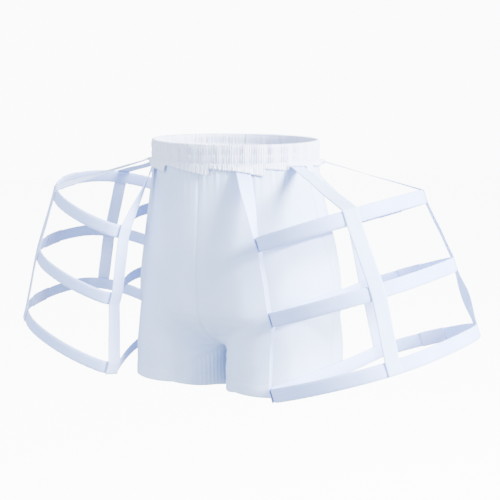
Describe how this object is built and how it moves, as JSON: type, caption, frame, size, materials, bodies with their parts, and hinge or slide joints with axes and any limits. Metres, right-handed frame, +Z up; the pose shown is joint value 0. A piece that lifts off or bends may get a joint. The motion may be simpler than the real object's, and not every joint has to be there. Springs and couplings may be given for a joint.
{
  "type": "crinoline cage",
  "caption": "Short drawers with a gathered elastic waist and, on each hip, a light side cage of tape-covered hoops slung from the waist by flat tapes, worn under a wide skirt.",
  "frame": {"origin": "centre of the waist opening, level with its top edge", "axes": "+Z up the wearer, +X towards the wearer's left along the longest extent, -Y the way the wearer faces"},
  "size_m": [0.7224, 0.2925, 0.3839],
  "materials": {
    "drawers_cloth": "fine plain-weave white cotton with a cool tint, soft folds",
    "gathered_cloth": "the same cotton shirred into fine upright pleats over the elastic",
    "casing_tape": "white twill tape with a pale lavender cast, stitched along both edges",
    "patch_tape": "white twill tape wrapped over the join of a hoop",
    "hanging_tape": "flat white twill tape, woven edges",
    "bone_plastic": "flat white nylon boning",
    "sleeve_metal": "thin crimped steel sleeve",
    "elastic_webbing": "white ribbed elastic webbing"
  },
  "bodies": {
    "root": {"back_left_panel": "drawers_cloth", "back_right_panel": "drawers_cloth", "front_left_panel": "drawers_cloth", "front_right_panel": "drawers_cloth", "left_bottom_bone": "bone_plastic", "left_bottom_bone_sleeve": "sleeve_metal", "left_bottom_casing": "casing_tape", "left_bottom_join_patch": "patch_tape", "left_front_outer_tape": "hanging_tape", "left_front_tape": "hanging_tape", "left_middle_bone": "bone_plastic", "left_middle_bone_sleeve": "sleeve_metal", "left_middle_casing": "casing_tape", "left_middle_join_patch": "patch_tape", "left_rear_outer_tape": "hanging_tape", "left_rear_tape": "hanging_tape", "left_top_bone": "bone_plastic", "left_top_bone_sleeve": "sleeve_metal", "left_top_casing": "casing_tape", "left_top_join_patch": "patch_tape", "right_bottom_bone": "bone_plastic", "right_bottom_bone_sleeve": "sleeve_metal", "right_bottom_casing": "casing_tape", "right_bottom_join_patch": "patch_tape", "right_front_outer_tape": "hanging_tape", "right_front_tape": "hanging_tape", "right_middle_bone": "bone_plastic", "right_middle_bone_sleeve": "sleeve_metal", "right_middle_casing": "casing_tape", "right_middle_join_patch": "patch_tape", "right_rear_outer_tape": "hanging_tape", "right_rear_tape": "hanging_tape", "right_top_bone": "bone_plastic", "right_top_bone_sleeve": "sleeve_metal", "right_top_casing": "casing_tape", "right_top_join_patch": "patch_tape", "waist_casing": "gathered_cloth", "waist_elastic": "elastic_webbing"}
  },
  "joints": []
}
